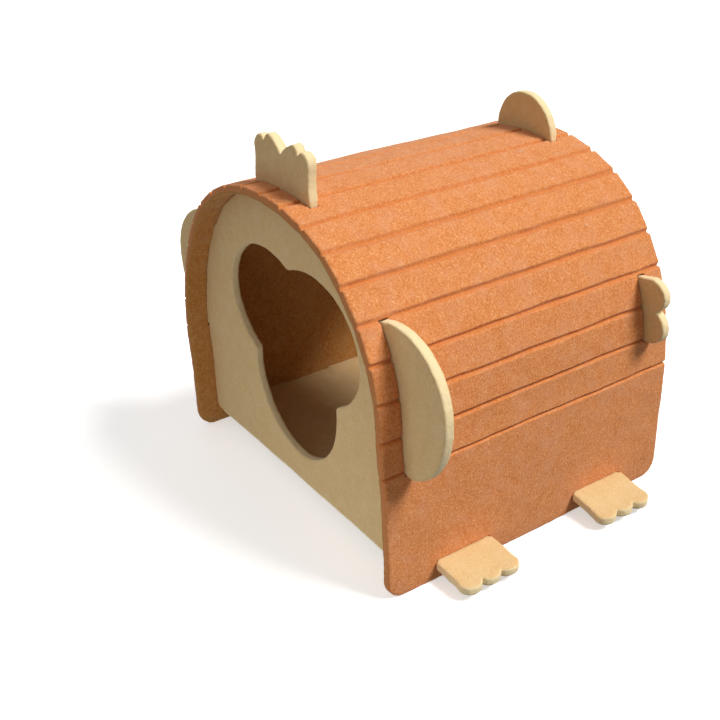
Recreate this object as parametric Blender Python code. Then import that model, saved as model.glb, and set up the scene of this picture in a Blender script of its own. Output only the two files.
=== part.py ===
"""Felt pet cave: a grooved felt sheet bent into a tunnel over two felt end panels and a felt floor.

The pieces hold one another by tabs in slots, with no glue, stitch or frame.
Units are metres, +Z is up and the front faces -Y.
The origin is on the ground under the middle of the tunnel.
"""

import math

import bmesh
import bpy

MM = 0.001

# Felt, and the play in a slot or a joint
FELT = 10 * MM
PLAY = 0.3 * MM
HALF_FELT = FELT / 2

# The wrap: grooves that run along Y, and how far the felt turns at each, from the lowest to the crown
DEPTH = 380 * MM
FIRST_GROOVE = 145 * MM
GROOVE_PITCH = 37.4 * MM
GROOVE_DEPTH = 4.5 * MM
GROOVE_HALF_WIDTH = 2.5 * MM
TURNS_TO_CROWN = (5.5, 7, 8, 9, 11, 12.5, 12.5, 11, 9.5, 8)
CORNER_RADIUS = 24 * MM

# The end panels stand on the floor, set back from the rims
FRONT_FACE = -165 * MM
REAR_FACE = 164 * MM
PANEL_CORNER = 6 * MM

# The floor is held off the ground by the felt under its slots
FLOOR_UNDERSIDE = 13 * MM
FLOOR_TOP = FLOOR_UNDERSIDE + FELT
FLOOR_FRONT, FLOOR_REAR = -159 * MM, 158 * MM

# A foot is a tab of the floor: its middle from the tunnel's middle, its width, and where its toes' centres lie
FOOT_CENTRE = 95 * MM
FOOT_WIDTH = 73 * MM
FOOT_DROOP = 4 * MM
TOE_RADIUS = 13.2 * MM
TOE_CENTRE_X = 245.5 * MM
TOES = 3

# A wing, a tab of the front panel: a quarter of an ellipse below its widest point and another above it
WING_FOOT, WING_WIDEST, WING_TOP = 138 * MM, 216 * MM, 288 * MM
WING_REACH = 260 * MM
WING_LOW_CENTRE, WING_HIGH_CENTRE = 202 * MM, 181 * MM

# Slots are longer than their tabs at the upper end
SLOT_SLACK = 5 * MM

# The comb's right half, in mm as X and Z: up its side, over two skewed points and down to the middle notch
CLEAR_OF_ROOF = 370 * MM
COMB_HALF_WIDTH = 52 * MM
COMB_EDGE_MM = (
    (51.4, 377), (50.8, 384), (50.7, 391), (51.2, 397), (51.5, 401.5), (50.8, 405.8), (48.6, 409.6),
    (44.6, 412.5), (40, 413.5), (35.6, 412.4), (32.5, 409.2), (30.8, 413), (28.2, 416), (24.6, 417.5),
    (20.2, 416.8), (16.2, 415), (12, 412.8), (8, 410.3), (4, 407.3), (0, 403.5),
)

# Lobes, in the plane of their panel: middle x, middle z, half width, half height
CREST_MIDDLE = (0, 365 * MM)
CREST_RADIUS = 44.5 * MM
TAIL_TAB_FOOT, TAIL_TAB_TOP = 180 * MM, 250 * MM
TAIL_TAB_MIDDLE = (205 * MM, 218 * MM)
TAIL_TAB_LOBES = (
    (209 * MM, 200.5 * MM, 19.5 * MM, 20 * MM),
    (204.5 * MM, 236 * MM, 21 * MM, 19 * MM),
)
OPENING_MIDDLE = (0, 190 * MM)
OPENING_LOBES = (
    (44 * MM, 219 * MM, 84 * MM, 71 * MM),
    (-44 * MM, 219 * MM, 84 * MM, 71 * MM),
    (0, 145 * MM, 83 * MM, 88 * MM),
)
LOBE_BLEND = 60  # the higher, the sharper the notch between two lobes

ARC_STEPS = 10
OPENING_STEPS = 96
CUTTER_REACH = 300 * MM


def clear_scene():
    for old in list(bpy.data.objects):
        bpy.data.objects.remove(old)


def felt(name, colour):
    """Matt needle-punched felt in one colour, given as linear red, green and blue."""
    material = bpy.data.materials.new(name)
    material.use_nodes = True
    shader = material.node_tree.nodes["Principled BSDF"]
    shader.inputs["Base Color"].default_value = (*colour, 1)
    shader.inputs["Roughness"].default_value = 0.95
    shader.inputs["Metallic"].default_value = 0
    material.diffuse_color = (*colour, 1)
    return material


def prism(name, outline, along, low, high):
    """A closed mesh that sweeps an outline from low to high along an axis (0, 1 or 2)."""
    mesh = bmesh.new()
    ends = []
    for level in (low, high):
        corners = [list(point) for point in outline]
        for corner in corners:
            corner.insert(along, level)
        ends.append([mesh.verts.new(corner) for corner in corners])
    near, far = ends
    mesh.faces.new(near)
    mesh.faces.new(far[::-1])
    for i in range(len(outline)):
        mesh.faces.new((near[i - 1], near[i], far[i], far[i - 1]))
    bmesh.ops.recalc_face_normals(mesh, faces=mesh.faces)
    return link(name, mesh)


def link(name, mesh):
    data = bpy.data.meshes.new(name)
    mesh.to_mesh(data)
    mesh.free()
    made = bpy.data.objects.new(name, data)
    bpy.context.collection.objects.link(made)
    return made


def cut(piece, cutter):
    """Takes the cutter out of the piece, and keeps the cutter as a wire guide."""
    cutter.hide_render = True
    cutter.display_type = "WIRE"
    bite = piece.modifiers.new(cutter.name, "BOOLEAN")
    bite.operation = "DIFFERENCE"
    bite.solver = "EXACT"
    bite.object = cutter


def mirrored(half):
    """An outline's right half, followed by its mirror image in X on the way back."""
    return half + [(-x, z) for x, z in reversed(half) if x > 0]


def arc(centre, radii, start, stop, steps=ARC_STEPS):
    """Points on an ellipse between two angles in degrees, both ends included."""
    angles = [math.radians(start + (stop - start) * i / steps) for i in range(steps + 1)]
    return [(centre[0] + radii[0] * math.cos(a), centre[1] + radii[1] * math.sin(a)) for a in angles]


def far_side(middle, angle, lobe):
    """How far a ray from the middle runs before it leaves a lobe, or 0 where it misses the lobe."""
    x, z, half_width, half_height = lobe
    across, up = math.cos(angle) / half_width, math.sin(angle) / half_height
    dx, dz = (middle[0] - x) / half_width, (middle[1] - z) / half_height
    a, b, c = across**2 + up**2, across * dx + up * dz, dx**2 + dz**2 - 1
    if b * b < a * c:
        return 0
    return max(0, (math.sqrt(b * b - a * c) - b) / a)


def lobed(middle, lobes, start, stop, steps):
    """The joint outline of several lobes, seen from the middle, with its notches a little rounded."""
    points = []
    for i in range(steps + 1):
        angle = math.radians(start + (stop - start) * i / steps)
        reaches = [far_side(middle, angle, lobe) for lobe in lobes]
        widest = max(reaches)
        blend = sum((reach / widest) ** LOBE_BLEND for reach in reaches) ** (1 / LOBE_BLEND)
        reach = widest * blend
        points.append((middle[0] + reach * math.cos(angle), middle[1] + reach * math.sin(angle)))
    return points


# The bent wrap, as seen from the front


def turns():
    """How far the felt turns at each groove, in degrees, from the right side over the crown to the left."""
    return TURNS_TO_CROWN + TURNS_TO_CROWN[-2::-1]


def grooves():
    """Each groove's place in the middle of the felt, with the heading half way through its turn."""
    x, z, heading = 0, FIRST_GROOVE, 90
    line = []
    for turn in turns():
        line.append((x, z, heading + turn / 2))
        heading += turn
        x += GROOVE_PITCH * math.cos(math.radians(heading))
        z += GROOVE_PITCH * math.sin(math.radians(heading))
    middle = (line[0][0] + line[-1][0]) / 2
    return [(x - middle, z, heading) for x, z, heading in line]


def outward(heading):
    """The unit step out of the tunnel, at right angles to the felt's heading."""
    angle = math.radians(heading)
    return math.sin(angle), -math.cos(angle)


def face_line(offset, foot):
    """A face of the felt without its grooves, from the right foot over the crown to the left foot."""
    points = []
    for (x, z, heading), turn in zip(grooves(), turns()):
        out_x, out_z = outward(heading)
        mitre = offset / math.cos(math.radians(turn / 2))
        points.append((x + mitre * out_x, z + mitre * out_z))
    return [(points[0][0], foot), *points, (points[-1][0], foot)]


def grooved_line():
    """The outer face with a V at each groove: one lip, the bottom and the other lip."""
    points = []
    for (x, z, heading), turn in zip(grooves(), turns()):
        lips = []
        for side in (-1, 1):
            own = heading + side * turn / 2
            out_x, out_z = outward(own)
            step = side * GROOVE_HALF_WIDTH
            along_x, along_z = math.cos(math.radians(own)), math.sin(math.radians(own))
            lips.append((x + HALF_FELT * out_x + step * along_x, z + HALF_FELT * out_z + step * along_z))
        out_x, out_z = outward(heading)
        left = HALF_FELT - GROOVE_DEPTH
        points += [lips[0], (x + left * out_x, z + left * out_z), lips[1]]
    return [(points[0][0], 0), *points, (points[-1][0], 0)]


def arch():
    """The right half of an end panel's edge inside the wrap, from the floor up to the crown."""
    line = face_line(-HALF_FELT - PLAY, FLOOR_TOP + PLAY)
    return line[: len(line) // 2 + 1]


def arch_x(z):
    """Where the arch lies at a height."""
    for (x0, z0), (x1, z1) in zip(arch(), arch()[1:]):
        if z0 <= z <= z1:
            return x0 + (x1 - x0) * (z - z0) / (z1 - z0)
    raise ValueError("above the crown")


# Outlines of the tabs, each from its lower end on the arch to its upper end


def wing():
    drop, rise = WING_WIDEST - WING_FOOT, WING_TOP - WING_WIDEST
    low = arc((WING_LOW_CENTRE, WING_WIDEST), (WING_REACH - WING_LOW_CENTRE, drop), -90, 0)
    high = arc((WING_HIGH_CENTRE, WING_WIDEST), (WING_REACH - WING_HIGH_CENTRE, rise), 0, 90)
    return [(arch_x(WING_FOOT), WING_FOOT), *low, *high[1:], (arch_x(WING_TOP), WING_TOP)]


def tail_tab():
    lobes = lobed(TAIL_TAB_MIDDLE, TAIL_TAB_LOBES, -84, 90, 2 * ARC_STEPS)
    return [(arch_x(TAIL_TAB_FOOT), TAIL_TAB_FOOT), *lobes, (arch_x(TAIL_TAB_TOP), TAIL_TAB_TOP)]


def comb():
    """Four points that stand on the crown: the right half, going in from the side."""
    edge = [(x * MM, z * MM) for x, z in COMB_EDGE_MM]
    return [(COMB_HALF_WIDTH, arch_z(COMB_HALF_WIDTH)), (COMB_HALF_WIDTH, CLEAR_OF_ROOF), *edge]


def crest():
    """A round tab that stands on the crown: the right half, going in from the side."""
    points = arc(CREST_MIDDLE, (CREST_RADIUS, CREST_RADIUS), 0, 90)
    points[-1] = (0, points[-1][1])
    return [(CREST_RADIUS, arch_z(CREST_RADIUS)), *points]


def arch_z(x):
    """How high the arch is at a distance from the middle."""
    for (x0, z0), (x1, z1) in zip(arch(), arch()[1:]):
        if x1 <= x < x0:
            return z0 + (z1 - z0) * (x - x0) / (x1 - x0)
    raise ValueError("outside the arch")


def panel_outline(side_tab, top_tab):
    """An end panel: the arch, with a tab through each side of the wrap and one through its crown."""
    foot = arch()[0]
    centre = (foot[0] - PANEL_CORNER, foot[1] + PANEL_CORNER)
    corner = arc(centre, (PANEL_CORNER, PANEL_CORNER), -90, 0, 4)
    below = [p for p in arch()[1:] if p[1] < side_tab[0][1]]
    above = [p for p in arch() if p[1] > side_tab[-1][1] and p[0] > top_tab[0][0]]
    return mirrored(corner + below + side_tab + above + top_tab)


# The four felt pieces


def add_wrap(material):
    inner = face_line(-HALF_FELT, 0)
    wrap = prism("wrap", grooved_line() + inner[::-1], 1, -DEPTH / 2, DEPTH / 2)
    wrap.data.materials.append(material)
    above_crown = CREST_MIDDLE[1] + CREST_RADIUS
    under_crown = arch_z(COMB_HALF_WIDTH) - FELT
    slots = (
        # name, half length in X, the panel's outer face, bottom and top
        ("comb_slot", COMB_HALF_WIDTH + PLAY, FRONT_FACE, under_crown, above_crown),
        ("crest_slot", CREST_RADIUS + PLAY, REAR_FACE, under_crown, above_crown),
        ("wing_slot", CUTTER_REACH, FRONT_FACE, WING_FOOT - PLAY, WING_TOP + SLOT_SLACK),
        ("tail_tab_slot", CUTTER_REACH, REAR_FACE, TAIL_TAB_FOOT - PLAY, TAIL_TAB_TOP + 2 * SLOT_SLACK),
    )
    for name, half_length, face, low, high in slots:
        y0, y1 = panel_sides(face, PLAY)
        cut(wrap, prism(name, [(y0, low), (y1, low), (y1, high), (y0, high)], 0, -half_length, half_length))
    add_foot_slots(wrap)
    add_round_corners(wrap)
    return wrap


def panel_sides(face, margin=0):
    """Where an end panel's two faces are in Y, a margin further apart, from its outer face."""
    inside = face - math.copysign(FELT, face)
    return min(face, inside) - margin, max(face, inside) + margin


def add_foot_slots(wrap):
    half = FOOT_WIDTH / 2
    low, high = FLOOR_UNDERSIDE - PLAY, FLOOR_TOP + PLAY
    for name, centre in (("front_foot_slot", -FOOT_CENTRE), ("rear_foot_slot", FOOT_CENTRE)):
        y0, y1 = centre - half - PLAY, centre + half + PLAY
        cut(wrap, prism(name, [(y0, low), (y1, low), (y1, high), (y0, high)], 0, -CUTTER_REACH, CUTTER_REACH))


def add_round_corners(wrap):
    """Rounds the sheet's four corners, which are at the bottom of the rims."""
    rim, radius, past = DEPTH / 2, CORNER_RADIUS, FELT
    for name, side in (("front_corners", -1), ("rear_corners", 1)):
        curve = arc((rim - radius, radius), (radius, radius), -90, 0)
        outline = [*curve, (rim + past, radius), (rim + past, -past), (rim - radius, -past)]
        cut(wrap, prism(name, [(side * y, z) for y, z in outline], 0, -CUTTER_REACH, CUTTER_REACH))


def add_panel(name, outline, face, material):
    """An end panel with its lobed opening. Its outer face is at Y = face, and its inner one nearer the middle."""
    panel = prism(name, outline, 1, *panel_sides(face))
    panel.data.materials.append(material)
    opening = lobed(OPENING_MIDDLE, OPENING_LOBES, 0, 360, OPENING_STEPS)[:-1]
    cut(panel, prism(name + "_opening", opening, 1, *panel_sides(face, FELT)))


def foot(centre):
    """A foot on the floor's right side, from its front edge round its toes to its rear edge."""
    half = FOOT_WIDTH / 2
    spacing = FOOT_WIDTH / TOES
    middle = (TOE_CENTRE_X - TOE_RADIUS, centre)
    lobes = [(TOE_CENTRE_X, centre + (i - 1) * spacing, TOE_RADIUS, TOE_RADIUS) for i in range(TOES)]
    toes = lobed(middle, lobes, -70, 70, 4 * ARC_STEPS)
    edge = floor_edge()
    return [(edge, centre - half), (TOE_CENTRE_X - 4 * MM, centre - half), *toes,
            (TOE_CENTRE_X - 4 * MM, centre + half), (edge, centre + half)]


def floor_edge():
    """How far the floor reaches on each side, inside the wrap."""
    return arch()[0][0]


def add_floor(material):
    right = [(floor_edge(), FLOOR_FRONT), *foot(-FOOT_CENTRE), *foot(FOOT_CENTRE), (floor_edge(), FLOOR_REAR)]
    left = [(-x, y) for x, y in reversed(right)]
    floor = prism("floor", right + left, 2, FLOOR_UNDERSIDE, FLOOR_TOP)
    floor.data.materials.append(material)
    bend_feet(floor)


def bend_feet(floor):
    """The feet droop past the wrap, more towards their toes."""
    wall = face_line(HALF_FELT, 0)[0][0]
    reach = TOE_CENTRE_X + TOE_RADIUS - wall
    mesh = bmesh.new()
    mesh.from_mesh(floor.data)
    for side in (-1, 1):
        for i in range(5):
            whole = mesh.verts[:] + mesh.edges[:] + mesh.faces[:]
            plane = (side * (wall + reach * i / 5), 0, 0)
            bmesh.ops.bisect_plane(mesh, geom=whole, plane_co=plane, plane_no=(1, 0, 0))
    for vert in mesh.verts:
        past = max(0, abs(vert.co.x) - wall)
        vert.co.z -= FOOT_DROOP * (past / reach) ** 2
    mesh.to_mesh(floor.data)
    mesh.free()


def build():
    clear_scene()
    orange = felt("orange_felt", (0.60, 0.20, 0.075))
    cream = felt("cream_felt", (0.84, 0.66, 0.36))
    add_wrap(orange)
    add_panel("front_panel", panel_outline(wing(), comb()), FRONT_FACE, cream)
    add_panel("rear_panel", panel_outline(tail_tab(), crest()), REAR_FACE, cream)
    add_floor(cream)


build()
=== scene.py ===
import math

import bmesh
import bpy
import numpy as np
from mathutils import Matrix, Vector, geometry, noise


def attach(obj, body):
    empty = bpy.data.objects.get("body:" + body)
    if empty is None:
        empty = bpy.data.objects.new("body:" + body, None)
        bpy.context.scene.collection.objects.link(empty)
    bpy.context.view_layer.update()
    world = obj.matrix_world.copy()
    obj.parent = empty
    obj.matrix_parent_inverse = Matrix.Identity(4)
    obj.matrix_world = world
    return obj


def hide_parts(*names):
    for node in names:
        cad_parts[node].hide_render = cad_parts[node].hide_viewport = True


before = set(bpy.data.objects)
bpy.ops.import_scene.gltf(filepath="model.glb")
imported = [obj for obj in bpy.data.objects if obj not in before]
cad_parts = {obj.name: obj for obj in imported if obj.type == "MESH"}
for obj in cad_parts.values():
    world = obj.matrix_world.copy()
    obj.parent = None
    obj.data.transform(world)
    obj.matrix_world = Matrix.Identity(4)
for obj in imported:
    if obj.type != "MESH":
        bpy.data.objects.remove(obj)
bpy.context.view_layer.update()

# Blender's noise starts from the clock unless it has a seed
noise.seed_set(7)

# Every size below is in millimetres, in the frame's own axes, and becomes metres where a mesh is made.
MM = 0.001

# Felt board: its thickness, how much thicker it swells where no slot holds it, how round its cut edges and
# its slots are left, and where in that rounding its rings of points lie
FELT = 10
HALF_FELT = FELT / 2
SWELL = 0.12
EDGE_ROUNDING = 2.2
SLOT_ROUNDING = 0.8
EDGE_RINGS = (0, 0.14, 0.48, 1)

# How far apart points are at most along a cut, about how far inside the sheet, how near they may be on a cut,
# and how far the filling keeps from the rounded edge
OUTLINE_STEP = 2.4
SHEET_STEP = 5
NEAREST = 0.4
FILLING_GAP = 1.1

# How uneven the felt is: the size of each wave and how far it moves the felt. The smallest is the felt's nap.
LONG_WAVE, SHORT_WAVE, NAP_WAVE = (45, 0.7), (13, 0.3), (4, 0.3)

# The wrap, flat: its straight sides, then grooves at one pitch, each with the turn in degrees that it takes,
# the length of felt on each side of a groove that shares in its turn, and the radius of the sheet's corners
DEPTH = 380
SIDE = 145
PITCH = 37.4
TURNS_TO_CROWN = (5.5, 7, 8, 9, 11, 12.5, 12.5, 11, 9.5, 8)
TURNS = TURNS_TO_CROWN + TURNS_TO_CROWN[-2::-1]
WRAP_LENGTH = 2 * SIDE + PITCH * (len(TURNS) - 1)
TURN_SPREAD = 4
CORNER = 20

# A groove: its depth, half its width in felt that doesn't turn, what each degree of turn adds to that, how
# soft its lips are, and where points lie on both sides of it
GROOVE_DEPTH = 3.5
GROOVE_HALF_WIDTH = 0.5
OPENED_PER_DEGREE = 0.235
LIP_SOFTNESS = 0.2
COLUMNS_FROM_GROOVE = (0, 0.5, 1, 1.5, 2, 2.6, 3.3, 4.1, 6, 10.5, 15)

# How much a groove's width, place and depth wander, over what length, and how much of its own tone shows
WIDTH_WANDER, PLACE_WANDER, DEPTH_WANDER = 0.25, 0.5, 0.15
WANDER_LENGTH = 30
GROOVE_TINT = 0.6

# Where the panels and the floor are, by the middle of their felt
FRONT_MIDDLE = -160
REAR_MIDDLE = 159
FLOOR_MIDDLE = 18
FLOOR_FRONT, FLOOR_REAR = -159, 158
PLAY = 0.3

# The comb's right half, across and up: its side, over two skewed points and down to the middle notch
COMB_EDGE = (
    (51.4, 377), (50.8, 384), (50.7, 391), (51.2, 397), (51.5, 401.5), (50.8, 405.8), (48.6, 409.6),
    (44.6, 412.5), (40, 413.5), (35.6, 412.4), (32.5, 409.2), (30.8, 413), (28.2, 416), (24.6, 417.5),
    (20.2, 416.8), (16.2, 415), (12, 412.8), (8, 410.3), (4, 407.3), (0, 403.5),
)

# How far from the middle the outer face of the wrap's sides is
WALL = 210

# How the sides have given: most where the arch springs, less over some height above it, and a share of it
# down to the ground. They lean in, and their ends bow out. Further in or out than the sides, the give fades.
SPRINGING = 165
GIVE_HEIGHT = 48
GROUND_SHARE = 0.3
LEAN_IN, BOW_FRONT, BOW_REAR = 3.5, 3.5, 2
BOW_FROM = 90
GIVE_ACROSS = ((120, 0), (200, 1), (WALL + 2, 1), (240, 0))

# Lobes, in the plane of their panel: middle across, middle up, half width, half height. Each group has a
# point inside it from which its whole outline is seen.
OPENING_LOBES = ((44, 219, 84, 71), (-44, 219, 84, 71), (0, 145, 83, 88))
OPENING_MIDDLE = (0, 190)
TAIL_TAB_LOBES = ((209, 200.5, 19.5, 20), (204.5, 236, 21, 19))
TAIL_TAB_MIDDLE = (205, 218)

# A wing's tip, across and up, and the arcs below and above it: how far across each is centred, and its height
WING_TIP = (262.3, 216)
WING_LOW_ARC, WING_HIGH_ARC = (202, 78), (186, 73.5)

# A panel's corner radius at the floor, and a height on the straight side where its edge has a point
PANEL_CORNER = 6
MID_SIDE = 80

# Where tabs swell, beyond the wrap's outer face: from how far out, and over what length
SWELL_FROM, SWELL_OVER = 1, 5

# Where tabs lean: from what height, and over what further height. The comb and crest lean on beyond the last.
TOP_FROM, TOP_OVER = 368, 46
WING_FROM, WING_OVER = 225, 60
WINGS_BELOW = 300


def arc(centre, radii, start, stop, steps=16):
    """Points on an ellipse between two angles in degrees, both ends included."""
    angles = [math.radians(start + (stop - start) * i / steps) for i in range(steps + 1)]
    return [(centre[0] + radii[0] * math.cos(a), centre[1] + radii[1] * math.sin(a)) for a in angles]


def far_side(middle, angle, lobe):
    """How far a ray from the middle runs before it leaves a lobe, or 0 where it misses the lobe."""
    x, z, half_width, half_height = lobe
    across, up = math.cos(angle) / half_width, math.sin(angle) / half_height
    dx, dz = (middle[0] - x) / half_width, (middle[1] - z) / half_height
    a, b, c = across**2 + up**2, across * dx + up * dz, dx**2 + dz**2 - 1
    if b * b < a * c:
        return 0
    return max(0, (math.sqrt(b * b - a * c) - b) / a)


def lobed(middle, lobes, start, stop, steps, sharpness=60):
    """The joint outline of several lobes, seen from the middle, with its notches a little rounded."""
    points = []
    for i in range(steps + 1):
        angle = math.radians(start + (stop - start) * i / steps)
        reaches = [far_side(middle, angle, lobe) for lobe in lobes]
        widest = max(reaches)
        reach = widest * sum((r / widest) ** sharpness for r in reaches) ** (1 / sharpness)
        points.append((middle[0] + reach * math.cos(angle), middle[1] + reach * math.sin(angle)))
    return points


def mirrored(half):
    """A right half, followed by its mirror image on the way back."""
    return half + [(-x, z) for x, z in reversed(half) if x > 0]


# The wrap's bend


def bend(step=0.5):
    """The middle of the bent felt at each step of its length: across, up and heading."""
    along = np.arange(0, WRAP_LENGTH + step, step)
    heading = np.full(len(along), 90.0)
    for k, turn in enumerate(TURNS):
        share = np.clip((along - SIDE - k * PITCH) / (2 * TURN_SPREAD) + 0.5, 0, 1)
        heading += turn * share * share * (3 - 2 * share)
    angle = np.radians(heading)
    between = (angle[1:] + angle[:-1]) / 2
    across = np.concatenate([[0], np.cumsum(np.cos(between))]) * step
    up = np.concatenate([[0], np.cumsum(np.sin(between))]) * step
    return along, across - (across[0] + across[-1]) / 2, up, angle


ALONG, ACROSS, UP, HEADING = bend()
CROWN = WRAP_LENGTH / 2


def along_at_height(z):
    """How far along the wrap its middle reaches a height, on the right side."""
    rising = ALONG <= CROWN
    return float(np.interp(z, UP[rising], ALONG[rising]))


def along_at_width(x):
    """How far along the wrap its middle comes in to a distance from the symmetry plane."""
    rising = (ALONG <= CROWN) & (UP > SIDE)
    return float(np.interp(-x, -ACROSS[rising], ALONG[rising]))


def on_wrap(along, depth, height):
    """Places points of the flat wrap on the bent one."""
    angle = np.interp(along, ALONG, HEADING)
    x = np.interp(along, ALONG, ACROSS) + height * np.sin(angle)
    z = np.interp(along, ALONG, UP) - height * np.cos(angle)
    return np.stack([x, depth, z], axis=1)


def groove_depth(along, depth):
    """How deep the outer face is cut. The more the felt turns at a groove, the further its lips are apart."""
    nearest = np.clip(np.round((along - SIDE) / PITCH), 0, len(TURNS) - 1).astype(int)
    # Each groove runs through another part of the noise
    places = [Vector((v / WANDER_LENGTH, k * 3.7, 0)) for v, k in zip(depth, nearest)]
    wander = np.array([noise.noise_vector(place) for place in places])
    half_width = GROOVE_HALF_WIDTH + OPENED_PER_DEGREE * np.array(TURNS)[nearest]
    half_width *= 1 + WIDTH_WANDER * wander[:, 0]
    away = along - SIDE - nearest * PITCH - PLACE_WANDER * wander[:, 1]
    left = 1 - (away / half_width) ** 2
    return GROOVE_DEPTH * (1 + DEPTH_WANDER * wander[:, 2]) * (left + np.hypot(left, LIP_SOFTNESS)) / 2


def columns():
    """Where points lie along the wrap: close together where the walls of a groove turn."""
    across = []
    for k in range(len(TURNS)):
        across += [SIDE + k * PITCH + side * d for d in COLUMNS_FROM_GROOVE for side in (-1, 1)]
    for u in np.arange(3, SIDE - COLUMNS_FROM_GROOVE[-1] - 1, SHEET_STEP):
        across += [u, WRAP_LENGTH - u]
    return sorted(set(np.round(across, 3)))


def with_columns(loop):
    """The outline again, with a point wherever it crosses a column."""
    points = []
    for a, b in zip(loop, loop[1:] + loop[:1]):
        points.append(a)
        low, high = min(a[0], b[0]) + NEAREST, max(a[0], b[0]) - NEAREST
        between = [c for c in columns() if low < c < high]
        for c in between if b[0] > a[0] else between[::-1]:
            points.append((c, a[1] + (b[1] - a[1]) * (c - a[0]) / (b[0] - a[0])))
    return points


def root(along):
    """The end of a slot at a place along the wrap, from its inner face to its outer one: across and up."""
    x, _, z = on_wrap(np.full(2, along), np.zeros(2), np.array([-HALF_FELT - PLAY, HALF_FELT])).T
    return [(x[0], z[0]), (x[1], z[1])]


# Felt sheets, cut flat from outlines with the felt on their left


def fine(loop, step=OUTLINE_STEP):
    """The closed outline again, with points at most a step apart."""
    points = []
    for a, b in zip(loop, loop[1:] + loop[:1]):
        count = max(1, math.ceil(math.dist(a, b) / step))
        points += [(a[0] + (b[0] - a[0]) * i / count, a[1] + (b[1] - a[1]) * i / count) for i in range(count)]
    return np.array([p for i, p in enumerate(points) if math.dist(p, points[i - 1]) > NEAREST])


def inset(loop, distance):
    """The outline moved into the felt."""
    ahead = np.roll(loop, -1, axis=0) - loop
    ahead /= np.linalg.norm(ahead, axis=1, keepdims=True)
    behind = np.roll(ahead, 1, axis=0)
    left = np.stack([-ahead[:, 1] - behind[:, 1], ahead[:, 0] + behind[:, 0]], axis=1)
    size = np.linalg.norm(left, axis=1, keepdims=True)
    return loop + left / size * distance * np.minimum(2 / size, 1.4)


def inside(points, loops):
    """Which points are in the felt: an odd number of outlines is crossed on the way out."""
    odd = np.zeros(len(points), bool)
    x, y = points[:, :1], points[:, 1:]
    for loop in loops:
        a, b = loop, np.roll(loop, -1, axis=0)
        spans = (a[:, 1] > y) != (b[:, 1] > y)
        slope = (b[:, 0] - a[:, 0]) / np.where(b[:, 1] == a[:, 1], 1e-9, b[:, 1] - a[:, 1])
        odd ^= (spans & (x < a[:, 0] + (y - a[:, 1]) * slope)).sum(axis=1) % 2 == 1
    return odd


def clear_of(points, loops, distance):
    """Which points are further than a distance from every outline."""
    clear = np.ones(len(points), bool)
    for loop in loops:
        for part in np.array_split(loop, max(1, len(loop) // 100)):
            gap = np.linalg.norm(points[:, None] - part[None], axis=2).min(axis=1)
            clear &= gap > distance
    return clear


def triangulate(loops, roundings, filling):
    """Flat triangles over the felt. Returns points, triangles, shares of cut, thinning and outlines."""
    points = [inset(loop, share * size) for loop, size in zip(loops, roundings) for share in EDGE_RINGS]
    keep = inside(filling, loops) & clear_of(filling, loops, EDGE_ROUNDING + FILLING_GAP)
    sizes = [len(ring) for ring in points]
    starts = np.concatenate([[0], np.cumsum(sizes)])
    edges = [(s + i, s + (i + 1) % n) for s, n in zip(starts, sizes) for i in range(n)]
    flat = np.concatenate([*points, filling[keep]])
    coords, _, faces, from_points, _, _ = geometry.delaunay_2d_cdt(
        [Vector(p) for p in flat], edges, [], 1, 1e-5
    )
    where = {old: new for new, olds in enumerate(from_points) for old in olds}
    cut, thinner = np.zeros(len(coords)), np.zeros(len(coords))
    outlines = []
    for k, start in enumerate(starts[:-1]):
        ring = [where[start + i] for i in range(sizes[k])]
        share = EDGE_RINGS[k % len(EDGE_RINGS)]
        cut[ring] = 1 - share
        thinner[ring] = roundings[k // len(EDGE_RINGS)] * (1 - math.sqrt(1 - (1 - share) ** 2))
        if share == 0:
            outlines.append(ring)
    faces = [f for f in faces if len(f) == 3 and cut[list(f)].min() < 1]
    return np.array([tuple(c) for c in coords]), faces, cut, thinner, outlines


def waves(points, size, strength, seed=0):
    """A smooth random shift of each point, in millimetres, for felt that never lies quite flat."""
    shift = Vector((seed * 7.3, seed * 3.1, seed * 5.7))
    return np.array([noise.noise_vector(Vector(p) / size + shift) for p in points]) * strength


def flex(points):
    """Lets the fitted felt give: the wrap's sides lean in and their ends bow out, with all that they hold."""
    x, y, z = points.T
    share = np.exp(-(((z - SPRINGING) / GIVE_HEIGHT) ** 2))
    share = np.where(z < SPRINGING, GROUND_SHARE + (1 - GROUND_SHARE) * share, share)
    share *= np.interp(np.abs(x), *zip(*GIVE_ACROSS))
    inward = -np.sign(x) * LEAN_IN * share
    bow = np.interp(y, (FRONT_MIDDLE, -BOW_FROM, BOW_FROM, REAR_MIDDLE), (-BOW_FRONT, 0, 0, BOW_REAR)) * share
    return points + np.stack([inward, bow, np.zeros(len(points))], axis=1)


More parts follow.
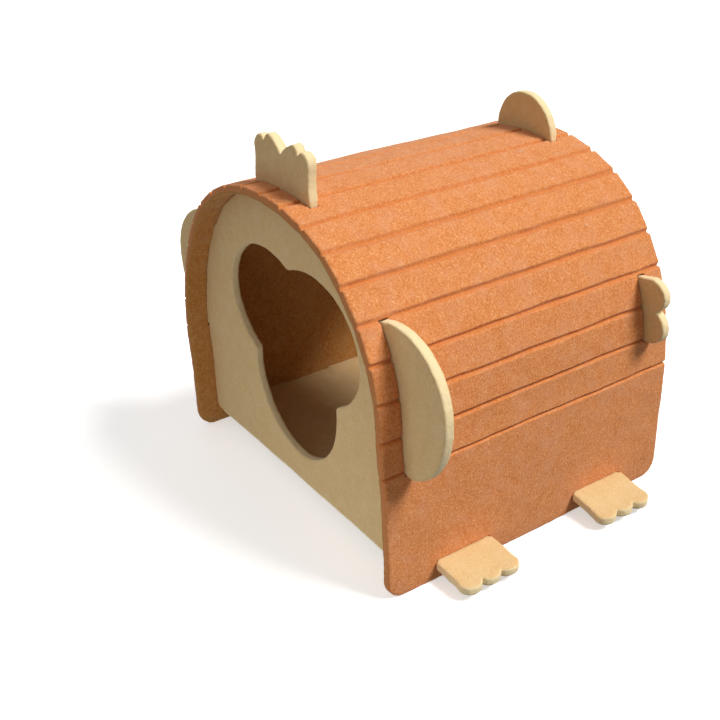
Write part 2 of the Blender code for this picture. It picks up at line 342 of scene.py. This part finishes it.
def felt_sheet(name, loops, roundings, filling, place, material, seed, cut_into=None):
    """A closed, soft-edged sheet of felt, cut flat along the loops and then placed."""
    flat, faces, cut, thinner, outlines = triangulate([fine(loop) for loop in loops], roundings, filling)
    relief = cut_into(*flat.T) if cut_into else np.zeros(len(flat))
    upper, lower = HALF_FELT - thinner - relief, -HALF_FELT + thinner
    count = len(flat)
    layers = [np.column_stack([flat, upper]), np.column_stack([flat, lower])]
    polygons = [tuple(f) for f in faces] + [tuple(count + i for i in reversed(f)) for f in faces]
    cut = list(cut) * 2
    groove = list(np.clip(relief / GROOVE_DEPTH, 0, 1) * GROOVE_TINT) + [0] * count
    inner = [0] * count + [1] * count
    for ring in outlines:
        previous = ring
        for share in (0.3, 0.7, 1):
            current = [count + i for i in ring]
            if share < 1:
                start = sum(len(layer) for layer in layers)
                height = upper[ring] + (lower[ring] - upper[ring]) * share
                layers.append(np.column_stack([flat[ring], height]))
                cut += [1] * len(ring)
                groove += [0] * len(ring)
                inner += [0] * len(ring)
                current = list(range(start, start + len(ring)))
            for i in range(len(ring)):
                polygons.append((previous[i - 1], current[i - 1], current[i], previous[i]))
            previous = current
    sheet = np.concatenate(layers)
    points = flex(place(*sheet.T))
    points = points + waves(points, *LONG_WAVE) + waves(points, *SHORT_WAVE)
    points += waves(points, *NAP_WAVE, seed) * (0.3 + np.array(cut))[:, None]
    # The pattern of each sheet comes from another place of the board
    sheet += seed * 1000
    shares = {"cut": cut, "groove": groove, "inner": inner}
    return finished_mesh(name, points, polygons, sheet, shares, material)


def finished_mesh(name, points, polygons, sheet, shares, material):
    """The placed felt. Each point keeps its place on the flat sheet and its shares, for the material."""
    data = bpy.data.meshes.new(name)
    data.from_pydata((points * MM).tolist(), [], polygons)
    mesh = bmesh.new()
    mesh.from_mesh(data)
    bmesh.ops.recalc_face_normals(mesh, faces=mesh.faces)
    mesh.to_mesh(data)
    mesh.free()
    data.shade_smooth()
    data.attributes.new("sheet", "FLOAT_VECTOR", "POINT").data.foreach_set("vector", (sheet * MM).ravel())
    for label, values in shares.items():
        data.attributes.new(label, "FLOAT", "POINT").data.foreach_set("value", values)
    data.materials.append(material)
    piece = bpy.data.objects.new(name, data)
    bpy.context.scene.collection.objects.link(piece)
    return piece


def even_filling(loop, step=SHEET_STEP):
    """Points in staggered rows over an outline's box, for triangles with nearly equal sides."""
    low, high = np.min(loop, axis=0), np.max(loop, axis=0)
    rows = np.arange(low[1], high[1], step * 0.866)
    return np.array([
        (x + (i % 2) * step / 2, y) for i, y in enumerate(rows) for x in np.arange(low[0], high[0], step)
    ])


# The pieces

# How far along the wrap the slots on its crown begin, and the tabs on its sides begin and end, except for the
# height that the tail tab begins at, and how much longer the side slots are above and below
COMB_SLOT, CREST_SLOT = along_at_width(51.9), along_at_width(43.7)
WING_LOW, WING_TOP = 142.2, along_at_height(285.5)
TAIL_TAB_LOW, TAIL_TAB_TOP = 180, along_at_height(250)
TOP_GAP, LOW_GAP = 1.4, 1.8


def rectangle(u0, u1, v0, v1):
    """A slot: an outline with the felt around it."""
    return [(u0, v0), (u0, v1), (u1, v1), (u1, v0)]


def both_sides(u0, u1, v0, v1):
    """The same slot on the wrap's right side and on its left."""
    return [rectangle(u0, u1, v0, v1), rectangle(WRAP_LENGTH - u1, WRAP_LENGTH - u0, v0, v1)]


def wrap_loops():
    half = DEPTH / 2
    corners = (
        (CORNER, -half + CORNER, 180),
        (WRAP_LENGTH - CORNER, -half + CORNER, 270),
        (WRAP_LENGTH - CORNER, half - CORNER, 0),
        (CORNER, half - CORNER, 90),
    )
    sheet = [p for u, v, start in corners for p in arc((u, v), (CORNER, CORNER), start, start + 90)]
    front = (FRONT_MIDDLE - HALF_FELT - PLAY, FRONT_MIDDLE + HALF_FELT + PLAY)
    rear = (REAR_MIDDLE - HALF_FELT - PLAY, REAR_MIDDLE + HALF_FELT + PLAY)
    loops = [
        sheet,
        rectangle(COMB_SLOT, WRAP_LENGTH - COMB_SLOT, *front),
        rectangle(CREST_SLOT, WRAP_LENGTH - CREST_SLOT, *rear),
    ]
    loops += both_sides(WING_LOW - LOW_GAP, WING_TOP + TOP_GAP, *front)
    loops += both_sides(along_at_height(TAIL_TAB_LOW - PLAY), TAIL_TAB_TOP + TOP_GAP, *rear)
    for middle, lift in FEET:
        low = FLOOR_MIDDLE + lift - HALF_FELT - PLAY
        reach = FOOT_WIDTH / 2 - NECK + PLAY
        loops += both_sides(low, low + FELT + 2 * PLAY, middle - reach, middle + reach)
    return [with_columns(loop) for loop in loops]


def wrap_filling(margin=4, rows=60):
    across = np.linspace(-DEPTH / 2 + margin, DEPTH / 2 - margin, rows)
    return np.array([(u, v) for u in columns() for v in across])


def inner_x(z):
    """How far from the middle the wrap's inner face is at a height, less the play."""
    along = along_at_height(z)
    return float(on_wrap(np.array([along]), np.array([0]), np.array([-HALF_FELT - PLAY]))[0, 0])


STRAIGHT_INNER = inner_x(60)


def arch():
    """The right half of a panel's edge inside the wrap, from the floor to the crown."""
    along = np.array([FLOOR_MIDDLE + HALF_FELT + PLAY, MID_SIDE, *np.arange(SIDE, CROWN + 1, PITCH / 4)])
    points = on_wrap(along, along * 0, np.full(len(along), -HALF_FELT - PLAY))
    points[-1, 0] = 0
    return [(x, z) for x, _, z in points]


def panel_loops(side_tab, top_tab):
    foot, *rest = arch()
    centre = (foot[0] - PANEL_CORNER, foot[1] + PANEL_CORNER)
    corner = arc(centre, (PANEL_CORNER, PANEL_CORNER), -90, 0, 5)
    below = [p for p in rest if p[1] < side_tab[0][1]]
    above = [p for p in rest if p[1] > side_tab[-1][1] and p[0] > top_tab[0][0] + 2]
    opening = lobed(OPENING_MIDDLE, OPENING_LOBES, 360, 0, 300)[:-1]
    return [mirrored(corner + below + side_tab + above + top_tab), opening]


def wing():
    """A wing's edge: a step down at the slot, a full round below and a flatter one above."""
    def quarter(centre, height, start):
        return arc((centre, WING_TIP[1]), (WING_TIP[0] - centre, height), start, start + 90)

    step = [(STRAIGHT_INNER, WING_LOW), (WALL + 2, WING_LOW - 0.4)]
    low = [(x, z) for x, z in quarter(*WING_LOW_ARC, -90) if x > WALL + 5]
    return [*step, *low, *quarter(*WING_HIGH_ARC, 0)[1:], *reversed(root(WING_TOP))]


def tail_tab():
    lobes = lobed(TAIL_TAB_MIDDLE, TAIL_TAB_LOBES, -84, 90, 40)
    return [(inner_x(TAIL_TAB_LOW), TAIL_TAB_LOW), *lobes, *reversed(root(TAIL_TAB_TOP))]


def smooth(points, steps=4):
    """A curve through the points, which keeps straight on at both ends."""
    p = np.array([points[0], *points, points[-1]], float)
    curve = []
    for a, b, c, d in zip(p, p[1:], p[2:], p[3:]):
        for t in np.arange(steps) / steps:
            bent = 2 * a - 5 * b + 4 * c - d + t * (3 * b - a - 3 * c + d)
            curve.append(tuple(b + t * (c - a + t * bent) / 2))
    return [*curve, tuple(points[-1])]


def comb():
    """The comb's right half, up from inside the wrap."""
    return [(50.4, 352.8), (52.7, 363.5), *smooth([(52.7, 369), *COMB_EDGE])]


def crest():
    """The round top tab's right half, up from inside the wrap."""
    points = arc((0, 365), (44.5, 46), 0, 90, 24)
    return [(42.2, 355), *points[:-1], (0, points[-1][1])]


def beyond_wrap(x, z):
    """How far points of a panel are outside the wrap's outer face."""
    line = np.stack([ACROSS, UP, HEADING])[:, ::4]
    nearest = np.hypot(x[:, None] - line[0], z[:, None] - line[1]).argmin(axis=1)
    at_x, at_z, angle = line[:, nearest]
    return (x - at_x) * np.sin(angle) - (z - at_z) * np.cos(angle) - HALF_FELT


def panel_place(middle, side, top_lean, wing_lean):
    """Stands a flat panel up, outer face towards side. Its tabs lean, and swell where no slot holds them."""
    def place(x, z, height):
        free = np.clip((beyond_wrap(x, z) - SWELL_FROM) / SWELL_OVER, 0, 1)
        top = np.clip((z - TOP_FROM) / TOP_OVER, 0, 1.2)
        high_wing = free * np.clip((z - WING_FROM) / WING_OVER, 0, 1) * (z < WINGS_BELOW)
        y = middle + side * height * (1 + SWELL * free) + top_lean * top**2 + wing_lean * high_wing
        return np.stack([x, y, z], axis=1)
    return place


# The feet: the middle of each along the tunnel, and how much higher it leaves the wrap than the floor lies.
# A foot is a little narrower in its slot, rises over a length of floor, and droops outside.
FEET = ((-95, 0), (95, 2.5))
FOOT_WIDTH, NECK = 73, 2.5
TOE_CENTRE, TOE_LENGTH, TOE_HALF_WIDTH = 247.2, 11.5, 13.3
RISE_LENGTH, DROOP = 45, 4.5


def foot(centre):
    """A foot's edge, from the front of its slot round its three toes to the rear."""
    half = FOOT_WIDTH / 2
    lobes = [(TOE_CENTRE, centre + side * FOOT_WIDTH / 3, TOE_LENGTH, TOE_HALF_WIDTH) for side in (-1, 0, 1)]
    toes = lobed((TOE_CENTRE - 14, centre), lobes, -69, 69, 90)
    shoulder = TOE_CENTRE - 6
    corner = arc((WALL + 0.5 + NECK, centre - half + NECK), (NECK, NECK), 180, 270, 5)
    near = [(STRAIGHT_INNER, centre - half + NECK), *corner]
    far = [(x, 2 * centre - y) for x, y in reversed(near)]
    return [*near, (shoulder, centre - half), *toes, (shoulder, centre + half), *far]


def floor_loops():
    feet = [point for middle, _ in FEET for point in foot(middle)]
    right = [(STRAIGHT_INNER, FLOOR_FRONT), *feet, (STRAIGHT_INNER, FLOOR_REAR)]
    return [right + [(-x, y) for x, y in reversed(right)]]


def floor_place(x, y, height):
    """Lays the floor down. Its feet rise to their slots, droop past the wrap and flatten at their toes."""
    past = np.clip((np.abs(x) - WALL) / (TOE_CENTRE + TOE_LENGTH - WALL), 0, 1)
    near = np.clip(1 - (WALL - np.abs(x)) / RISE_LENGTH, 0, 1)
    lift = np.where(y > 0, FEET[1][1], FEET[0][1]) * near * near * (3 - 2 * near)
    droop = (DROOP + lift) * past * past * (3 - 2 * past)
    return np.stack([x, y, FLOOR_MIDDLE + height + lift - droop], axis=1)


# Materials


def linear(code):
    """An sRGB hex colour as linear red, green, blue and alpha."""
    shares = [int(code[i : i + 2], 16) / 255 for i in (0, 2, 4)]
    return [s / 12.92 if s <= 0.04045 else ((s + 0.055) / 1.055) ** 2.4 for s in shares] + [1]


def add(tree, kind, links=(), values=None, **settings):
    """Adds a node. A link is a source, its output and the input here. Values go by input name or number."""
    node = tree.nodes.new(kind)
    for label, setting in settings.items():
        setattr(node, label, setting)
    for target, value in (values or {}).items():
        node.inputs[target].default_value = value
    for source, output, target in links:
        tree.links.new(source.outputs[output], node.inputs[target])
    return node


def ramp(tree, source, output, stops):
    """A colour or a share for each stop of a value."""
    node = add(tree, "ShaderNodeValToRGB", [(source, output, "Fac")])
    band = node.color_ramp
    while len(band.elements) < len(stops):
        band.elements.new(0.5)
    for element, (place, colour) in zip(band.elements, stops):
        element.position = place
        element.color = colour if hasattr(colour, "__len__") else (colour, colour, colour, 1)
    return node


def felt_material(name, tones, spread, bloom, cut_tone_and_highlight, groove_tone, fleck, fleck_share, inner_face_shade_filter):
    """Needle-punched polyester felt: dyed fibres barbed into a dense matt board, in tones that don't mix."""
    material = bpy.data.materials.new(name)
    material.use_nodes = True
    tree = material.node_tree
    shader = tree.nodes["Principled BSDF"]
    sheet = add(tree, "ShaderNodeAttribute", attribute_name="sheet")
    flat = [(sheet, "Vector", "Vector")]
    # Needle-punched tufts 2.2 mm apart, and drifts of tone where the fibre batt was uneven
    tufts = add(tree, "ShaderNodeTexNoise", flat, {"Scale": 1000 / 2.2, "Detail": 4, "Roughness": 0.7})
    drift = add(tree, "ShaderNodeTexNoise", flat, {"Scale": 1000 / 14, "Detail": 4, "Roughness": 0.6})
    patches = add(tree, "ShaderNodeTexNoise", flat, {"Scale": 1000 / 22, "Detail": 5, "Roughness": 0.7})
    # Fibres lie in the sheet in every direction: 8 mm long, and drawn 1.1 mm wide, the finest that shows
    size = (0.008, 0.0011, 0.003)
    fibres = None
    for turn in (10, 48, 84, 127, 161):
        lie = add(tree, "ShaderNodeMapping", flat, {"Rotation": (0, 0, math.radians(turn)), "Scale": size},
                  vector_type="TEXTURE")
        strand = add(tree, "ShaderNodeTexNoise", [(lie, 0, "Vector")],
                     {"Scale": 1, "Detail": 1, "Roughness": 0.5})
        both = [(fibres, 0, 0), (strand, 0, 1)]
        fibres = add(tree, "ShaderNodeMath", both, operation="MAXIMUM") if fibres else strand
    tone = None
    for source, weight in ((tufts, 0.5), (drift, 0.12), (fibres, 0.38)):
        part = add(tree, "ShaderNodeMath", [(source, 0, 0)], {1: weight}, operation="MULTIPLY")
        both = [(tone, 0, 0), (part, 0, 1)]
        tone = add(tree, "ShaderNodeMath", both, operation="ADD") if tone else part
    dark, middle, pale = (linear(t) for t in tones)
    body = ramp(tree, tone, 0, [(0.54 - spread, dark), (0.54, middle), (0.54 + spread, pale)])
    # Pale bloom where the face was rubbed, pale loose fibres, and a tone of its own in the grooves, stronger
    # the deeper they are cut
    bloomed = ramp(tree, patches, 0, [(0.46, 0.0), (0.72, 0.5)])
    loose = ramp(tree, fibres, 0, [(0.7, 0.0), (0.78, fleck_share)])
    groove = add(tree, "ShaderNodeAttribute", attribute_name="groove")
    cut = add(tree, "ShaderNodeAttribute", attribute_name="cut")
    # Cut edges take their own tone: a browner one on the orange felt, and on the cream a lighter one that is
    # a painted highlight
    edge = ramp(tree, cut, "Fac", [(0.5, 0.0), (1.0, 0.8)])
    colour = body
    for share, output, tint in (
        (bloomed, 0, bloom), (loose, 0, fleck), (groove, "Fac", groove_tone), (edge, 0, cut_tone_and_highlight),
    ):
        under = 0 if colour is body else 2
        colour = add(tree, "ShaderNodeMix", [(share, output, 0), (colour, under, 6)], {7: linear(tint)},
                     data_type="RGBA")
    # Painted shade: the inner face, which lies inside the tunnel, is made a little darker and yellower
    inner = add(tree, "ShaderNodeAttribute", attribute_name="inner")
    colour = add(tree, "ShaderNodeMix", [(inner, "Fac", 0), (colour, 2, 6)], {7: linear(inner_face_shade_filter)},
                 data_type="RGBA", blend_type="MULTIPLY")
    tree.links.new(colour.outputs[2], shader.inputs["Base Color"])
    # Matt polyester with a soft nap
    for label, value in (
        ("Roughness", 0.92), ("IOR", 1.46), ("Specular IOR Level", 0.2), ("Sheen Weight", 0.15),
        ("Sheen Roughness", 0.45),
    ):
        shader.inputs[label].default_value = value
    relief = add(tree, "ShaderNodeMath", [(tufts, 0, 0), (fibres, 0, 1)], operation="ADD")
    bump = add(tree, "ShaderNodeBump", [(relief, 0, "Height")], {"Strength": 0.42, "Distance": 0.0011})
    tree.links.new(bump.outputs[0], shader.inputs["Normal"])
    return material


def lint_material():
    """A loose strand of undyed polyester, white and slightly glossy."""
    material = bpy.data.materials.new("white_polyester_lint")
    material.use_nodes = True
    shader = material.node_tree.nodes["Principled BSDF"]
    for label, value in (("Base Color", linear("f3ece2")), ("Roughness", 0.5), ("IOR", 1.57)):
        shader.inputs[label].default_value = value
    return material


# The studio


def look_from(location, azimuth, elevation, roll):
    """A camera's placement that looks down at the object, with a little roll."""
    a, e, r = (math.radians(v) for v in (azimuth, elevation, roll))
    back = Vector((math.sin(a) * math.cos(e), -math.cos(a) * math.cos(e), math.sin(e)))
    right = Vector((math.cos(a), math.sin(a), 0))
    up = back.cross(right)
    axes = Matrix((math.cos(r) * right + math.sin(r) * up, math.cos(r) * up - math.sin(r) * right, back))
    return Matrix.Translation(location) @ axes.transposed().to_4x4()


def add_camera():
    camera = bpy.data.objects.new("camera", bpy.data.cameras.new("camera"))
    bpy.context.scene.collection.objects.link(camera)
    # Fitted to points on the object: lens in millimetres, place in metres, and the view's angles in degrees
    camera.data.sensor_width = 36
    camera.data.lens = 52.15
    camera.matrix_world = look_from((0.8594, -0.6505, 0.7095), 56.32, 28.58, -1.71)
    bpy.context.scene.camera = camera


def add_sun(name, energy, angle, direction):
    """A distant lamp that shines from a direction, softer the wider its angle."""
    lamp = bpy.data.objects.new(name, bpy.data.lights.new(name, "SUN"))
    bpy.context.scene.collection.objects.link(lamp)
    lamp.data.energy = energy
    lamp.data.angle = math.radians(angle)
    lamp.rotation_euler = Vector(direction).to_track_quat("Z", "Y").to_euler()


def add_reflector():
    """A bright card on the table before the front, which lights the lower part of its shade."""
    card = bpy.data.objects.new("reflector", bpy.data.lights.new("reflector", "AREA"))
    bpy.context.scene.collection.objects.link(card)
    card.data.shape = "DISK"
    card.data.size = 0.5
    card.data.energy = 0.52
    card.location = (0.12, -0.5, 0.02)
    card.rotation_euler = Vector((0.12, -0.33, -0.08)).to_track_quat("Z", "Y").to_euler()
    card.visible_camera = False


def add_world():
    """Soft light from all round, weaker from below."""
    world = bpy.data.worlds.new("studio")
    world.use_nodes = True
    tree = world.node_tree
    place = add(tree, "ShaderNodeTexCoord")
    split = add(tree, "ShaderNodeSeparateXYZ", [(place, "Generated", 0)])
    height = add(tree, "ShaderNodeMath", [(split, "Z", 0)], {1: 0.5, 2: 0.5}, operation="MULTIPLY_ADD")
    glow = ramp(tree, height, 0, [(0.35, 0.17), (0.6, 0.26)])
    tree.links.new(glow.outputs[0], tree.nodes["Background"].inputs["Color"])
    bpy.context.scene.world = world


def add_floor(segments=96):
    """A pale table and backdrop in one sweep, lit from within, which throw no colour on the felt."""
    paper = bpy.data.materials.new("pale_backdrop_paper")
    paper.use_nodes = True
    shader = paper.node_tree.nodes["Principled BSDF"]
    for label, value in (
        ("Base Color", linear("f7f6f4")), ("Roughness", 0.9), ("Emission Color", linear("ffffff")),
        ("Emission Strength", 0.5),
    ):
        shader.inputs[label].default_value = value
    # Metres from the middle, and up
    sweep = ((2.4, 0), (3.2, 0), (3.7, 0.06), (4.1, 0.25), (4.4, 0.6), (4.6, 1.2), (4.7, 2), (4.7, 4))
    turns = [2 * math.pi * i / segments for i in range(segments)]
    verts = [(reach * math.cos(turn), reach * math.sin(turn), up) for reach, up in sweep for turn in turns]
    faces = [tuple(range(segments))]
    for start in range(0, segments * (len(sweep) - 1), segments):
        for i in range(segments):
            a, b = start + i, start + (i + 1) % segments
            faces.append((a, a + segments, b + segments, b))
    data = bpy.data.meshes.new("studio_floor")
    data.from_pydata(verts, [], faces)
    data.shade_smooth()
    data.materials.append(paper)
    floor = bpy.data.objects.new("studio_floor", data)
    floor.visible_diffuse = False
    floor.visible_shadow = False
    bpy.context.scene.collection.objects.link(floor)


def add_lint(count=18, sides=4, radius=0.18, lift=0.25):
    """Loose white strands that lie on the wrap, each a thin tube along a gentle curl."""
    chance = np.random.default_rng(5)
    mesh = bmesh.new()
    steps = np.linspace(-0.5, 0.5, 7)
    for _ in range(count):
        u, v = chance.uniform(20, WRAP_LENGTH - 20), chance.uniform(-DEPTH / 2 + 12, DEPTH / 2 - 12)
        length, turn, curl = chance.uniform(3, 8), chance.uniform(0, 2 * math.pi), chance.uniform(-1.6, 1.6)
        line_u = u + length * steps * math.cos(turn) - curl * (4 * steps**2) * math.sin(turn)
        line_v = v + length * steps * math.sin(turn) + curl * (4 * steps**2) * math.cos(turn)
        edges = []
        for side in range(sides):
            angle = 2 * math.pi * side / sides
            off = radius * math.cos(angle)
            height = np.full(len(steps), HALF_FELT + lift + radius * math.sin(angle))
            edges.append(flex(on_wrap(line_u - off * math.sin(turn), line_v + off * math.cos(turn), height)))
        verts = [[mesh.verts.new(p * MM) for p in edge] for edge in edges]
        for a, b in zip(verts, verts[1:] + verts[:1]):
            for i in range(len(steps) - 1):
                mesh.faces.new((a[i], a[i + 1], b[i + 1], b[i]))
        mesh.faces.new([edge[0] for edge in verts])
        mesh.faces.new([edge[-1] for edge in reversed(verts)])
    bmesh.ops.recalc_face_normals(mesh, faces=mesh.faces)
    data = bpy.data.meshes.new("lint_on_wrap")
    mesh.to_mesh(data)
    mesh.free()
    data.materials.append(lint_material())
    lint = bpy.data.objects.new("lint_on_wrap", data)
    bpy.context.scene.collection.objects.link(lint)
    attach(lint, "root")


def declare(piece, node):
    """Puts a sheet under the root body and hides the part of the model that it stands for."""
    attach(piece, "root")
    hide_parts(node)


def build():
    # The orange felt's inner face filter is painted shade, darkening and yellowing the inside of the tunnel
    orange = felt_material(
        "orange_needle_punched_felt", tones=("bd6931", "dd8a4d", "f3b27c"), spread=0.15, bloom="dd9a72",
        cut_tone_and_highlight="ba7640", groove_tone="cf7c3c", fleck="f6cfa8", fleck_share=0.25, inner_face_shade_filter="dff3dc",
    )
    # The cream's cut tone is a painted highlight: every cut edge is made lighter, as where lit
    cream = felt_material(
        "cream_needle_punched_felt", tones=("d0ae74", "dfbd86", "eacf9c"), spread=0.19, bloom="e4cb9c",
        cut_tone_and_highlight="fde7b6", groove_tone="e2c083", fleck="f4e2bd", fleck_share=0.2, inner_face_shade_filter="fbfaf6",
    )
    loops = wrap_loops()
    roundings = [EDGE_ROUNDING] + [SLOT_ROUNDING] * (len(loops) - 1)
    wrap = felt_sheet("wrap_felt", loops, roundings, wrap_filling(), on_wrap, orange, 1, groove_depth)
    declare(wrap, "wrap")
    # Name, node, outlines, how the panel stands, and seed
    panels = (
        ("front_panel_felt", "front_panel", panel_loops(wing(), comb()),
         panel_place(FRONT_MIDDLE, side=-1, top_lean=1.8, wing_lean=2.5), 4),
        ("rear_panel_felt", "rear_panel", panel_loops(tail_tab(), crest()),
         panel_place(REAR_MIDDLE, side=1, top_lean=-2.5, wing_lean=0), 7),
    )
    for name, node, loops, place, seed in panels:
        panel = felt_sheet(name, loops, [EDGE_ROUNDING] * 2, even_filling(loops[0]), place, cream, seed)
        declare(panel, node)
    loops = floor_loops()
    floor = felt_sheet("floor_felt", loops, [EDGE_ROUNDING], even_filling(loops[0]), floor_place, cream, 10)
    declare(floor, "floor")
    add_lint()
    add_camera()
    # The key stands behind on the right and leaves the front and the left in shade, which two fills open up
    add_sun("key", 3.2, 24, (0.475, 0.41, 0.778))
    add_sun("front_fill", 0.27, 70, (-0.25, -0.87, 0.42))
    add_sun("left_fill", 0.45, 60, (-0.95, 0.22, 0.22))
    add_reflector()
    add_world()
    add_floor()
    bpy.context.scene.view_settings.view_transform = "Standard"


build()
